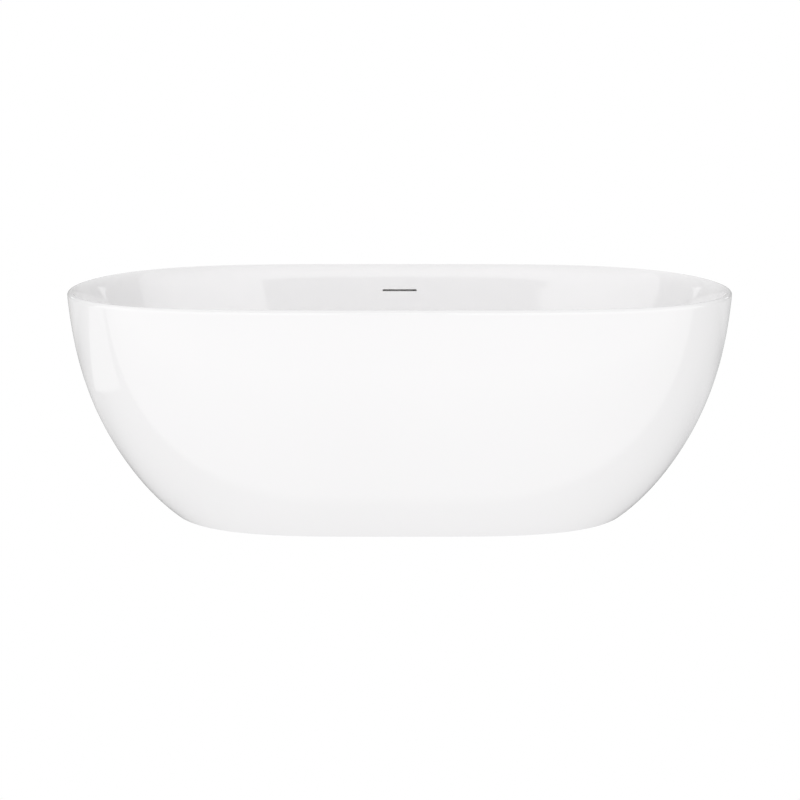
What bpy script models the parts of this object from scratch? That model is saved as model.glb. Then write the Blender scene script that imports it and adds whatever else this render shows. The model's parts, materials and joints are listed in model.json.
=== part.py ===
"""Freestanding double-skinned bathtub, as an assembly.

Units are metres. The origin is the centre of the footprint on the floor, +X runs along the tub's length,
+Y towards the wall that holds the overflow slot, and +Z up.

Every plan outline is one curve, |x/a|^p + |y/b|^q = 1, where a and b are its half length and half width
and p and q are its end power and side power. The outer skirt shrinks from the rim outline to the foot
outline as it comes down. The basin is lofted from the inside of the rim to the outline of its floor.
"""

import math

import bmesh
import bpy
from mathutils import Vector

# ---------------------------------------------------------------- driving dimensions
LENGTH = 1.700
WIDTH = 0.800
HEIGHT = 0.580
GAP = 0.0003  # left between pieces that touch

AROUND = 60  # points round each plan outline, a multiple of four
SKIRT_ROWS = 9
WELL_ROWS = 8
RIM_ROWS = 3  # per rounded edge of the rim
ROUND_SIDES = 20  # sides of a turned piece
HOSE_SIDES = 8

# Plan outlines: (half length, half width, end power, side power).
RIM_OUTLINE = (LENGTH / 2, WIDTH / 2, 4.29, 2.0)
FOOT_OUTLINE = (0.6255, 0.3155, 3.81, 2.61)
FLOOR_OUTLINE = (0.560, 0.235, 3.4, 2.3)
BOARD_OUTLINE = (0.500, 0.190, 3.4, 2.3)

# The skirt's side: a power curve, and a share of it that tucks in close to the floor.
LEAN_POWER = 2.42
TUCK_POWER = 14.0
TUCK_SHARE = 0.053
SKIRT_WALL = 0.005
SKIRT_ROW_POWER = 1.5  # above 1, rows crowd towards the foot

# The rim that rolls over from the basin, with the skirt butting up under it.
RIM_THICKNESS = 0.013
RIM_OUTER_RADIUS = 0.0085
RIM_INNER_RADIUS = 0.0040
RIM_LEAN = math.radians(37)  # how far the face leans back where it meets the rim
LIP_DEPTH = 0.012
BASIN_WALL = 0.0055

# The well. Its face rolls in by ROLL_WIDTH just under the rim, then sweeps down to the floor.
ROLL_WIDTH = 0.007
ROLL_DEPTH = 0.030  # the share of the well's depth over which the roll dies away
WELL_POWER = 2.2  # above 1, the wall stands upright at the rim and sweeps into the floor
SWEEP_DEPTH = 0.99  # the share of the well's depth where one more ring rounds the sweep into the floor
FLOOR_EDGE_Z = 0.135
DRAIN_Z = 0.131
FLOOR_UNDERSIDE_Z = 0.1235
FLOOR_RINGS = (0.75, 0.50, 0.20)  # scales of the floor outline, down to the flat round the drain

# Overflow.
SLOT_LENGTH = 0.105
SLOT_HEIGHT = 0.006
SLOT_Z = 0.503
OVERFLOW_HALF_WIDTH = 0.070
OVERFLOW_TOP_Z = 0.520
OVERFLOW_BOTTOM_Z = 0.430
OVERFLOW_WALL = 0.0015
OVERFLOW_STANDOFF = 0.0008  # clears the bulge of the basin's back
GASKET_THICKNESS = 0.002
GASKET_RIM = 0.008
SKIRT_CLEARANCE = 0.001
OVERFLOW_CUT_Y = (0.33, 0.42)  # cutters run between these, past both faces of the wall
NIPPLE_Y = 0.3790
NIPPLE_RADIUS = 0.0068
NIPPLE_BORE = 0.0053
NIPPLE_LENGTH = 0.024

# Drain, turned about the tub's vertical axis.
DRAIN_CUT_Z = (0.100, 0.160)  # the drain hole's cutter, past both faces of the floor
RECESS_RADIUS = 0.0365
RECESS_DEPTH = 0.004
DRAIN_HOLE_RADIUS = 0.026
FLANGE_RADIUS = 0.0355
THROAT_RADIUS = 0.022
SLEEVE_RADIUS = 0.0252
SLEEVE_BOTTOM_Z = 0.098
SHOE_BORE = 0.0256
SHOE_RADIUS = 0.031
SHOE_LIP_RADIUS = 0.036
SHOE_LIP_DEPTH = 0.004
CHAMBER_Z = 0.060
SPIGOT_RADIUS = 0.020
SPIGOT_BORE = 0.017
SPIGOT_BOTTOM_Z = 0.040
HOSE_Z = 0.0735
TAILPIECE_RADIUS = 0.019
TAILPIECE_BOTTOM_Z = 0.004
TAILPIECE_TOP_Z = 0.0395
SLIP_NUT_RADIUS = 0.0265
SLIP_NUT_Z = (0.034, 0.052)
STEM_RADIUS = 0.005
STOPPER_RADIUS = 0.030
CAP_UNDERSIDE_Z = 0.1318
SEAL_BOTTOM_Z = 0.1285
STEM_BOTTOM_Z = 0.101
CARTRIDGE_RADIUS = 0.010
CARTRIDGE_Z = (0.0865, 0.119)
CARTRIDGE_FLOOR = 0.002
SPRING_Z = (0.0887, 0.1007)
CROSS_Z = (0.108, 0.112)
CROSS_HUB_RADIUS = 0.013

# Hose between the overflow box and the drain shoe.
HOSE_RADIUS = 0.0095
HOSE_BORE = 0.0078
HOSE_STEPS = 24

# Frame, from the base board down to the feet.
BOARD_THICKNESS = 0.012
BOARD_HOLE_RADIUS = 0.050
TUBE = 0.025
TUBE_WALL = 0.002
RAIL_Y = 0.150
RAIL_HALF_LENGTH = 0.560
FOOT_BAR_HALF_LENGTH = 0.235
FOOT_X = 0.420
FOOT_Y = 0.210
STUD_RADIUS = 0.006
JOURNAL_RADIUS = 0.005
STUD_TOP_Z = 0.105
STUD_HOLE_RADIUS = 0.0066
NUT_RADIUS = 0.0110  # across corners, halved
NUT_HEIGHT = 0.008
PAD_RADIUS = 0.025
BOLT_RADIUS = 0.004
BOLT_HOLE_RADIUS = 0.0046
BOLT_HEAD_RADIUS = 0.0075
BOLT_HEAD_HEIGHT = 0.005
STRAP_WIDTH = 0.025
STRAP_THICKNESS = 0.003
STRAP_X = 0.200
STRAP_LEAF = 0.032
STRAP_CLEARANCE = 0.001

BOARD_TOP_Z = FLOOR_UNDERSIDE_Z - 0.0005
BOARD_BOTTOM_Z = BOARD_TOP_Z - BOARD_THICKNESS
RAIL_TOP_Z = BOARD_BOTTOM_Z - GAP
RAIL_BOTTOM_Z = RAIL_TOP_Z - TUBE
FOOT_BAR_TOP_Z = RAIL_BOTTOM_Z - GAP
FOOT_BAR_BOTTOM_Z = FOOT_BAR_TOP_Z - TUBE

# Finishes: (red, green, blue), roughness, metallic.
ACRYLIC = ((0.90, 0.90, 0.90), 0.06, 0.0)
CHROME = ((0.80, 0.81, 0.83), 0.08, 1.0)
ZINC = ((0.62, 0.63, 0.65), 0.35, 1.0)
PAINTED_STEEL = ((0.10, 0.10, 0.11), 0.45, 0.0)
RUBBER = ((0.03, 0.03, 0.03), 0.80, 0.0)
WHITE_PLASTIC = ((0.78, 0.78, 0.76), 0.40, 0.0)
GREY_PLASTIC = ((0.38, 0.39, 0.40), 0.50, 0.0)
PLYWOOD = ((0.55, 0.38, 0.22), 0.70, 0.0)


# ---------------------------------------------------------------- scene and mesh helpers
def clear_scene():
    for obj in list(bpy.data.objects):
        bpy.data.objects.remove(obj, do_unlink=True)


def make_material(name, finish):
    colour, roughness, metallic = finish
    material = bpy.data.materials.new(name + "_finish")
    material.use_nodes = True
    shader = material.node_tree.nodes["Principled BSDF"]
    shader.inputs["Base Color"].default_value = (*colour, 1.0)
    shader.inputs["Roughness"].default_value = roughness
    shader.inputs["Metallic"].default_value = metallic
    material.diffuse_color = (*colour, 1.0)
    return material


def add_object(name, rings, finish, closed=False, smooth=True):
    """An object skinned over successive rings of points, all with the same count.

    closed joins the last ring to the first. Otherwise the first and last rings are capped.
    """
    mesh = bpy.data.meshes.new(name)
    shape = bmesh.new()
    rows = [[shape.verts.new(point) for point in ring] for ring in rings]
    pairs = list(zip(rows, rows[1:]))
    if closed:
        pairs.append((rows[-1], rows[0]))
    else:
        shape.faces.new(rows[0])
        shape.faces.new(rows[-1])
    for lower, upper in pairs:
        for i in range(len(lower)):
            j = (i + 1) % len(lower)
            shape.faces.new((lower[i], lower[j], upper[j], upper[i]))
    bmesh.ops.recalc_face_normals(shape, faces=shape.faces)
    shape.to_mesh(mesh)
    shape.free()
    if smooth:
        mesh.shade_smooth()
        mesh.set_sharp_from_angle(angle=math.radians(35))
    obj = bpy.data.objects.new(name, mesh)
    bpy.context.scene.collection.objects.link(obj)
    if finish:
        mesh.materials.append(make_material(name, finish))
    return obj


def circle(radius, z, sides=ROUND_SIDES):
    turns = (math.tau * i / sides for i in range(sides))
    return [Vector((radius * math.cos(t), radius * math.sin(t), z)) for t in turns]


def add_turned(name, profile, finish, closed=True, at=(0.0, 0.0), sides=ROUND_SIDES):
    """A piece turned about a vertical axis: profile lists (radius, height), heights in the world."""
    rings = [circle(radius, z, sides) for radius, z in profile]
    obj = add_object(name, rings, finish, closed=closed)
    obj.location = (*at, 0.0)
    return obj


def rectangle_rings(low, high):
    """The two end rings of an upright box between two corners."""
    corners = ((low[0], low[1]), (high[0], low[1]), (high[0], high[1]), (low[0], high[1]))
    return [[Vector((x, y, z)) for x, y in corners] for z in (low[2], high[2])]


def add_box(name, low, high, finish):
    return add_object(name, rectangle_rings(low, high), finish, smooth=False)


def add_prism(name, outline, half_width, finish, axis="X"):
    """An outline of (across, up) points, extruded both ways along a horizontal axis."""
    if axis == "X":
        rings = [[Vector((side, u, v)) for u, v in outline] for side in (-half_width, half_width)]
    else:
        rings = [[Vector((u, side, v)) for u, v in outline] for side in (-half_width, half_width)]
    return add_object(name, rings, finish, smooth=False)


def boolean(obj, tool, operation="DIFFERENCE"):
    """Cuts tool from obj, or joins it on, and hides the tool."""
    tool.hide_render = True
    tool.display_type = "WIRE"
    modifier = obj.modifiers.new(operation.title() + "_" + tool.name, "BOOLEAN")
    modifier.operation = operation
    modifier.solver = "EXACT"
    modifier.object = tool


def cylinder_tool(name, radius, start, end, sides=ROUND_SIDES):
    """A helper cylinder between two points."""
    start, end = Vector(start), Vector(end)
    along = end - start
    turn = along.to_track_quat("Z", "Y").to_matrix()
    rings = [[start + turn @ point for point in circle(radius, z, sides)] for z in (0, along.length)]
    return add_object(name, rings, None)


# ---------------------------------------------------------------- plan outlines
def mix(a, b, share):
    return a + (b - a) * share


def reach(direction, end_power, side_power):
    """How far the outline |u|^p + |v|^q = 1 lies from its centre, towards an angle."""
    u, v = abs(math.cos(direction)), abs(math.sin(direction))
    near, far = 0.5, 1.5
    for _ in range(48):
        middle = (near + far) / 2
        if (middle * u) ** end_power + (middle * v) ** side_power < 1:
            near = middle
        else:
            far = middle
    return (near + far) / 2


def outline_point(outline, direction, inset=0.0):
    """A point of an outline, moved straight in from it by inset."""
    a, b, p, q = outline
    r = reach(direction, p, q)
    u, v = r * math.cos(direction), r * math.sin(direction)
    out_x = math.copysign(p * abs(u) ** (p - 1) / a, u)
    out_y = math.copysign(q * abs(v) ** (q - 1) / b, v)
    size = math.hypot(out_x, out_y)
    return Vector((a * u - inset * out_x / size, b * v - inset * out_y / size))


def even_directions():
    """Angles that space points evenly round the rim, the same in each quarter."""
    steps = 720
    angles = [math.pi / 2 * i / steps for i in range(steps + 1)]
    points = [outline_point(RIM_OUTLINE, angle) for angle in angles]
    travelled = [0.0]
    for before, after in zip(points, points[1:]):
        travelled.append(travelled[-1] + (after - before).length)
    quarter = []
    for i in range(AROUND // 4):
        wanted = travelled[-1] * i / (AROUND // 4)
        k = max(j for j in range(steps) if travelled[j] <= wanted)
        share = (wanted - travelled[k]) / (travelled[k + 1] - travelled[k])
        quarter.append(mix(angles[k], angles[k + 1], share))
    mirrored = [math.pi - angle for angle in reversed(quarter[1:])]
    half = quarter + [math.pi / 2] + mirrored
    return half + [math.pi + angle for angle in half]


DIRECTIONS = even_directions()


def outline_ring(outline, z, inset=0.0):
    return [outline_point(outline, angle, inset).to_3d() + Vector((0, 0, z)) for angle in DIRECTIONS]


# ---------------------------------------------------------------- the two skins
def skirt_outline(z):
    """The outer skin's outline at a height."""
    down = 1 - z / HEIGHT
    share = (1 - TUCK_SHARE) * down**LEAN_POWER + TUCK_SHARE * down**TUCK_POWER
    return tuple(mix(rim, foot, share) for rim, foot in zip(RIM_OUTLINE, FOOT_OUTLINE))


def skirt_inner_y(z):
    return skirt_outline(z)[1] - SKIRT_WALL


def skirt_inner_x(z):
    return skirt_outline(z)[0] - SKIRT_WALL


def well_share(depth):
    """How far the well has closed from the rim to its floor outline, at a share of its depth."""
    return 1 - max(0.0, 1 - depth) ** (1 / WELL_POWER)


def roll_inset(depth):
    """How far the roll under the rim has come in, at a share of the well's depth."""
    return ROLL_WIDTH * (1 - math.exp(-depth / ROLL_DEPTH))


def well_ring(depth, inset, floor_inset, top_z, bottom_z):
    """One ring of the well's face or back, between an inset rim outline and a floor outline."""
    share = well_share(depth)
    ring = []
    for angle in DIRECTIONS:
        top = outline_point(RIM_OUTLINE, angle, inset + roll_inset(depth))
        floor = outline_point(FLOOR_OUTLINE, angle, floor_inset)
        ring.append(top.lerp(floor, share).to_3d() + Vector((0, 0, mix(top_z, bottom_z, depth))))
    return ring


def basin_back_y(z):
    """Where the basin's back stands on the overflow side, at a height."""
    top_z = HEIGHT - LIP_DEPTH
    depth = (top_z - z) / (top_z - FLOOR_UNDERSIDE_Z)
    rim_y = WIDTH / 2 - RIM_THICKNESS + BASIN_WALL - roll_inset(depth)
    return mix(rim_y, FLOOR_OUTLINE[1] + BASIN_WALL, well_share(depth))


def build_skirt():
    top_z = HEIGHT - LIP_DEPTH - GAP
    heights = [top_z * (i / SKIRT_ROWS) ** SKIRT_ROW_POWER for i in range(SKIRT_ROWS + 1)]
    outside = [outline_ring(skirt_outline(z), z) for z in heights]
    inside = [outline_ring(skirt_outline(z), z, SKIRT_WALL) for z in reversed(heights)]
    add_object("outer_skirt", outside + inside, ACRYLIC, closed=True)


def rim_rings():
    """From the inside of the rim over its crest to the bottom of the lip."""
    inner = (RIM_THICKNESS - RIM_INNER_RADIUS, RIM_INNER_RADIUS, RIM_LEAN, math.pi / 2)
    outer = (RIM_OUTER_RADIUS, RIM_OUTER_RADIUS, math.pi / 2, math.pi)
    rings = []
    for centre, radius, first, last in (inner, outer):
        for i in range(RIM_ROWS + 1):
            angle = mix(first, last, i / RIM_ROWS)
            inset = centre + radius * math.cos(angle)
            rings.append(outline_ring(RIM_OUTLINE, HEIGHT - radius + radius * math.sin(angle), inset))
    rings.append(outline_ring(RIM_OUTLINE, HEIGHT - LIP_DEPTH))
    return rings


def build_basin():
    depths = [math.sin(math.pi / 2 * i / WELL_ROWS) ** 2 for i in range(WELL_ROWS + 1)]
    depths.insert(1, ROLL_DEPTH / 2)
    depths.insert(-1, SWEEP_DEPTH)
    floor = []
    for scale in reversed(FLOOR_RINGS):
        share = (scale - FLOOR_RINGS[-1]) / (1 - FLOOR_RINGS[-1])
        z = mix(DRAIN_Z, FLOOR_EDGE_Z, share)
        floor.append([Vector((scale * p.x, scale * p.y, z)) for p in outline_ring(FLOOR_OUTLINE, 0.0)])
    face_top_z = HEIGHT - RIM_INNER_RADIUS * (1 - math.sin(RIM_LEAN))
    face_inset = RIM_THICKNESS - RIM_INNER_RADIUS * (1 - math.cos(RIM_LEAN))
    face = [well_ring(d, face_inset, 0.0, face_top_z, FLOOR_EDGE_Z) for d in reversed(depths[1:])]
    back_inset = RIM_THICKNESS - BASIN_WALL
    back_top_z = HEIGHT - LIP_DEPTH
    back = [well_ring(d, back_inset, -BASIN_WALL, back_top_z, FLOOR_UNDERSIDE_Z) for d in depths]
    basin = add_object("inner_basin", floor + face + rim_rings() + back, ACRYLIC)
    cut_low, cut_high = DRAIN_CUT_Z
    hole = cylinder_tool("drain_hole", DRAIN_HOLE_RADIUS, (0, 0, cut_low), (0, 0, cut_high))
    recess = cylinder_tool("drain_recess", RECESS_RADIUS, (0, 0, DRAIN_Z - RECESS_DEPTH), (0, 0, cut_high))
    boolean(basin, hole)
    boolean(basin, recess)
    boolean(basin, slot_tool())


def slot_tool():
    """A flat bar with round ends, longer than the basin's wall is thick."""
    radius = SLOT_HEIGHT / 2
    half = SLOT_LENGTH / 2 - radius
    outline = []
    for side, first in ((half, -math.pi / 2), (-half, math.pi / 2)):
        for i in range(7):
            angle = first + math.pi * i / 6
            outline.append((side + radius * math.cos(angle), SLOT_Z + radius * math.sin(angle)))
    rings = [[Vector((x, y, z)) for x, z in outline] for y in OVERFLOW_CUT_Y]
    return add_object("overflow_slot_tool", rings, None)


# ---------------------------------------------------------------- overflow
def overflow_line(z, offset):
    """A straight line up the basin's back, offset towards the skirt."""
    share = (z - OVERFLOW_BOTTOM_Z) / (OVERFLOW_TOP_Z - OVERFLOW_BOTTOM_Z)
    low, high = basin_back_y(OVERFLOW_BOTTOM_Z), basin_back_y(OVERFLOW_TOP_Z)
    return mix(low, high, share) + offset


def leaning_outline(near, far_clearance, margin):
    """The overflow box's section, as (y, z): along the basin, and along the skirt."""
    bottom, top = OVERFLOW_BOTTOM_Z + margin, OVERFLOW_TOP_Z - margin
    return [
        (overflow_line(bottom, near), bottom),
        (skirt_inner_y(bottom) - far_clearance, bottom),
        (skirt_inner_y(top) - far_clearance, top),
        (overflow_line(top, near), top),
    ]


def build_overflow():
    gasket_face = OVERFLOW_STANDOFF + GASKET_THICKNESS
    corners = [
        (overflow_line(z, offset), z)
        for z, offset in (
            (OVERFLOW_BOTTOM_Z, OVERFLOW_STANDOFF),
            (OVERFLOW_BOTTOM_Z, gasket_face),
            (OVERFLOW_TOP_Z, gasket_face),
            (OVERFLOW_TOP_Z, OVERFLOW_STANDOFF),
        )
    ]
    gasket = add_prism("overflow_gasket", corners, OVERFLOW_HALF_WIDTH, RUBBER)
    inner = OVERFLOW_HALF_WIDTH - GASKET_RIM
    low, high = OVERFLOW_BOTTOM_Z + GASKET_RIM, OVERFLOW_TOP_Z - GASKET_RIM
    near_y, far_y = OVERFLOW_CUT_Y
    boolean(gasket, add_box("gasket_window_tool", (-inner, near_y, low), (inner, far_y, high), None))

    shell = leaning_outline(gasket_face + GAP, SKIRT_CLEARANCE, 0.0)
    box = add_prism("overflow_box", shell, OVERFLOW_HALF_WIDTH, WHITE_PLASTIC)
    tip = OVERFLOW_BOTTOM_Z - NIPPLE_LENGTH
    into = OVERFLOW_BOTTOM_Z + OVERFLOW_WALL / 2
    nipple = cylinder_tool("nipple_tool", NIPPLE_RADIUS, (0, NIPPLE_Y, tip), (0, NIPPLE_Y, into))
    boolean(box, nipple, "UNION")
    pocket = leaning_outline(-0.01, SKIRT_CLEARANCE + OVERFLOW_WALL, OVERFLOW_WALL)
    half = OVERFLOW_HALF_WIDTH - OVERFLOW_WALL
    boolean(box, add_prism("pocket_tool", pocket, half, None))
    bore = cylinder_tool("nipple_bore_tool", NIPPLE_BORE, (0, NIPPLE_Y, tip - 0.01), (0, NIPPLE_Y, 0.440))
    boolean(box, bore)


# ---------------------------------------------------------------- hose
def smooth_path(stations, steps):
    """Evenly numbered points on a smooth curve through the stations."""
    points = [stations[0] * 2 - stations[1]] + stations + [stations[-1] * 2 - stations[-2]]
    path = []
    for k in range(steps + 1):
        along = k * (len(stations) - 1) / steps
        i = min(int(along), len(stations) - 2)
        t = along - i
        a, b, c, d = points[i : i + 4]
        bend = (a * 2 - b * 5 + c * 4 - d) * t**2 + (b * 3 - a - c * 3 + d) * t**3
        path.append((b * 2 + (c - a) * t + bend) / 2)
    return path


def tube_rings(path, radius):
    """Rings square to a path that stays in a plane of constant x."""
    rings = []
    for i, point in enumerate(path):
        along = (path[min(i + 1, len(path) - 1)] - path[max(i - 1, 0)]).normalized()
        across = along.cross(Vector((1, 0, 0)))
        ring = circle(radius, 0.0, HOSE_SIDES)
        rings.append([point + Vector((spot.x, 0, 0)) + across * spot.y for spot in ring])
    return rings


def hose_path():
    """From the overflow nipple down between the skins, then under the rail to the drain shoe."""
    top_z = OVERFLOW_BOTTOM_Z - 0.004
    stations = [
        Vector((0, NIPPLE_Y, top_z)),
        Vector((0, NIPPLE_Y, top_z - 0.020)),
        Vector((0, NIPPLE_Y, top_z - 0.040)),
        Vector((0, 0.373, 0.345)),
        Vector((0, 0.356, 0.280)),
        Vector((0, 0.337, 0.210)),
        Vector((0, 0.308, 0.145)),
        Vector((0, 0.262, 0.098)),
        Vector((0, 0.200, 0.077)),
        Vector((0, 0.130, HOSE_Z)),
        Vector((0, 0.075, HOSE_Z)),
        Vector((0, SHOE_RADIUS + 0.004, HOSE_Z)),
    ]
    return smooth_path(stations, HOSE_STEPS)


def add_clip(name, centre, along):
    """A band round the hose with its screw housing on one side."""
    turn = Vector(along).to_track_quat("Z", "X").to_matrix()
    inner, outer, half = HOSE_RADIUS + 0.0004, HOSE_RADIUS + 0.0016, 0.0045
    section = ((inner, -half), (outer, -half), (outer, half), (inner, half))
    rings = [[turn @ point for point in circle(radius, z)] for radius, z in section]
    clip = add_object(name, rings, ZINC, closed=True)
    clip.location = centre
    box = rectangle_rings((outer - 0.0007, -0.004, -0.0035), (outer + 0.005, 0.004, 0.0035))
    housing = add_object(name + "_housing_tool", [[turn @ p for p in ring] for ring in box], None)
    housing.location = centre
    boolean(clip, housing, "UNION")


def build_hose():
    path = hose_path()
    rings = tube_rings(path, HOSE_RADIUS) + list(reversed(tube_rings(path, HOSE_BORE)))
    add_object("overflow_hose", rings, GREY_PLASTIC, closed=True)
    add_clip("hose_clip_upper", (0, NIPPLE_Y, OVERFLOW_BOTTOM_Z - 0.014), (0, 0, 1))
    add_clip("hose_clip_lower", (0, SHOE_RADIUS + 0.014, HOSE_Z), (0, 1, 0))


# ---------------------------------------------------------------- drain and stopper
def build_drain():
    recess_z = DRAIN_Z - RECESS_DEPTH
    seal_top = recess_z + GAP + 0.001
    flange_z = seal_top + GAP
    add_turned(
        "waste_flange",
        [
            (THROAT_RADIUS, SLEEVE_BOTTOM_Z),
            (THROAT_RADIUS, 0.1265),
            (0.0270, 0.1300),
            (0.0335, 0.1312),
            (FLANGE_RADIUS, 0.1303),
            (FLANGE_RADIUS, flange_z),
            (SLEEVE_RADIUS, flange_z),
            (SLEEVE_RADIUS, SLEEVE_BOTTOM_Z),
        ],
        CHROME,
    )
    add_turned("flange_seal", ring_section(0.0270, FLANGE_RADIUS, recess_z + GAP, seal_top), RUBBER)
    gasket_top = FLOOR_UNDERSIDE_Z - GAP
    gasket_bottom = gasket_top - 0.003
    add_turned("shoe_gasket", ring_section(0.0262, 0.0345, gasket_bottom, gasket_top), RUBBER)
    build_shoe(gasket_bottom - GAP)
    tail = ring_section(SPIGOT_BORE, TAILPIECE_RADIUS, TAILPIECE_BOTTOM_Z, TAILPIECE_TOP_Z)
    add_turned("tailpiece", tail, CHROME)
    slip_nut = ring_section(SPIGOT_RADIUS + 0.0006, SLIP_NUT_RADIUS, *SLIP_NUT_Z)
    add_nut("slip_nut", slip_nut, CHROME, sides=8)


def ring_section(inner, outer, low, high):
    return [(inner, low), (outer, low), (outer, high), (inner, high)]


def add_nut(name, section, finish, at=(0.0, 0.0), sides=6):
    """A flat-sided nut with a round hole."""
    (bore, low), (radius, _), (_, high), _ = section
    nut = add_object(name, [circle(radius, z, sides) for z in (low, high)], finish, smooth=False)
    nut.location = (*at, 0.0)
    hole = cylinder_tool(name + "_hole_tool", bore, (*at, low - 0.01), (*at, high + 0.01))
    boolean(nut, hole)


def build_shoe(top_z):
    """The cup under the floor, with a spigot down and a nipple towards the overflow."""
    shoe = add_turned(
        "drain_shoe",
        [
            (SHOE_BORE, top_z),
            (SHOE_BORE, CHAMBER_Z),
            (SPIGOT_BORE, CHAMBER_Z - 0.004),
            (SPIGOT_BORE, SPIGOT_BOTTOM_Z),
            (SPIGOT_RADIUS, SPIGOT_BOTTOM_Z),
            (SPIGOT_RADIUS, CHAMBER_Z - 0.007),
            (SHOE_RADIUS, CHAMBER_Z - 0.002),
            (SHOE_RADIUS, top_z - SHOE_LIP_DEPTH),
            (SHOE_LIP_RADIUS, top_z - SHOE_LIP_DEPTH),
            (SHOE_LIP_RADIUS, top_z),
        ],
        GREY_PLASTIC,
    )
    wall = (SHOE_BORE + SHOE_RADIUS) / 2
    tip = SHOE_RADIUS + NIPPLE_LENGTH
    nipple = cylinder_tool("side_nipple_tool", NIPPLE_RADIUS, (0, wall, HOSE_Z), (0, tip, HOSE_Z))
    boolean(shoe, nipple, "UNION")
    bore = cylinder_tool("side_bore_tool", NIPPLE_BORE, (0, 0.010, HOSE_Z), (0, tip + 0.01, HOSE_Z))
    boolean(shoe, bore)


def build_stopper():
    """The push-to-close plug, shown closed on its seat. The first four ride together."""
    add_turned(
        "stopper_cap",
        [
            (0.004, 0.1370),
            (0.014, 0.1364),
            (0.022, 0.1352),
            (0.0280, 0.1337),
            (STOPPER_RADIUS, 0.1325),
            (STOPPER_RADIUS, CAP_UNDERSIDE_Z),
            (0.004, CAP_UNDERSIDE_Z),
        ],
        CHROME,
        closed=False,
    )
    seal_z = CAP_UNDERSIDE_Z - GAP
    seal_bore = STEM_RADIUS + 0.0005
    seal = [
        (seal_bore, SEAL_BOTTOM_Z),
        (0.0235, SEAL_BOTTOM_Z),
        (0.0258, 0.1300),
        (0.0258, seal_z),
        (seal_bore, seal_z),
    ]
    add_turned("stopper_seal", seal, RUBBER)
    stem = [(STEM_RADIUS, seal_z), (STEM_RADIUS, STEM_BOTTOM_Z)]
    add_turned("stopper_stem", stem, GREY_PLASTIC, closed=False, sides=16)

    bore = STEM_RADIUS + 0.0006
    bottom, top = CARTRIDGE_Z
    cartridge = [
        (bore, top),
        (bore, bottom + CARTRIDGE_FLOOR),
        (0.002, bottom + CARTRIDGE_FLOOR),
        (0.002, bottom),
        (CARTRIDGE_RADIUS, bottom),
        (CARTRIDGE_RADIUS, top),
    ]
    add_turned("click_cartridge", cartridge, WHITE_PLASTIC, sides=16)
    build_spring(*SPRING_Z)

    hub = ring_section(CARTRIDGE_RADIUS + 0.0005, CROSS_HUB_RADIUS, *CROSS_Z)
    cross = add_turned("strainer_cross", hub, CHROME)
    rim_outer = THROAT_RADIUS - 0.0005
    rim_inner = rim_outer - 0.002
    rim = add_turned("strainer_rim_tool", ring_section(rim_inner, rim_outer, *CROSS_Z), None)
    boolean(cross, rim, "UNION")
    for i in range(4):
        low = (CROSS_HUB_RADIUS - 0.001, -0.0015, CROSS_Z[0] + 0.0005)
        high = (rim_inner + 0.001, 0.0015, CROSS_Z[1] - 0.0005)
        spoke = add_box(f"spoke_tool_{i}", low, high, None)
        spoke.rotation_euler.z = math.pi / 2 * i
        boolean(cross, spoke, "UNION")


def build_spring(low, high):
    """A compression spring: wire swept round a helix."""
    coil_radius, wire_radius, turns, per_turn, wire_sides = 0.0042, 0.0005, 4, 10, 5
    steps = turns * per_turn
    climb = (high - low - 2 * wire_radius) / steps
    rings = []
    for i in range(steps + 1):
        angle = math.tau * i / per_turn
        outwards = Vector((math.cos(angle), math.sin(angle), 0))
        centre = coil_radius * outwards + Vector((0, 0, low + wire_radius + climb * i))
        wire = circle(wire_radius, 0.0, wire_sides)
        rings.append([centre + outwards * spot.x + Vector((0, 0, spot.y)) for spot in wire])
    add_object("return_spring", rings, ZINC)


# ---------------------------------------------------------------- frame
def add_square_tube(name, low, high, axis, hole_points, hole_radius):
    """A square tube with open ends and upright holes through it."""
    tube = add_box(name, low, high, PAINTED_STEEL)
    inner_low = [c + TUBE_WALL for c in low]
    inner_high = [c - TUBE_WALL for c in high]
    inner_low[axis] = low[axis] - 0.01
    inner_high[axis] = high[axis] + 0.01
    boolean(tube, add_box(name + "_bore_tool", inner_low, inner_high, None))
    for i, (x, y, bottom, top) in enumerate(hole_points):
        hole = cylinder_tool(f"{name}_hole_tool_{i}", hole_radius[i], (x, y, bottom), (x, y, top), 16)
        boolean(tube, hole)


def build_frame():
    half = TUBE / 2
    for side, word in ((-1, "front"), (1, "rear")):
        y = side * RAIL_Y
        holes = [(end * FOOT_X, y, RAIL_BOTTOM_Z - 0.01, RAIL_BOTTOM_Z + 0.01) for end in (-1, 1)]
        low = (-RAIL_HALF_LENGTH, y - half, RAIL_BOTTOM_Z)
        high = (RAIL_HALF_LENGTH, y + half, RAIL_TOP_Z)
        add_square_tube(f"{word}_rail", low, high, 0, holes, (BOLT_HOLE_RADIUS,) * 2)
    for side, word in ((-1, "left"), (1, "right")):
        x = side * (RAIL_HALF_LENGTH - half)
        reach_y = RAIL_Y - half - GAP
        low = (x - half, -reach_y, RAIL_BOTTOM_Z)
        add_square_tube(f"{word}_end_bar", low, (x + half, reach_y, RAIL_TOP_Z), 1, (), ())
        x = side * FOOT_X
        spans = (FOOT_BAR_BOTTOM_Z - 0.01, FOOT_BAR_TOP_Z + 0.01)
        holes = [(x, y, *spans) for y in (-FOOT_Y, FOOT_Y, -RAIL_Y, RAIL_Y)]
        radii = (STUD_HOLE_RADIUS,) * 2 + (BOLT_HOLE_RADIUS,) * 2
        low = (x - half, -FOOT_BAR_HALF_LENGTH, FOOT_BAR_BOTTOM_Z)
        high = (x + half, FOOT_BAR_HALF_LENGTH, FOOT_BAR_TOP_Z)
        add_square_tube(f"{word}_foot_bar", low, high, 1, holes, radii)


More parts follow.
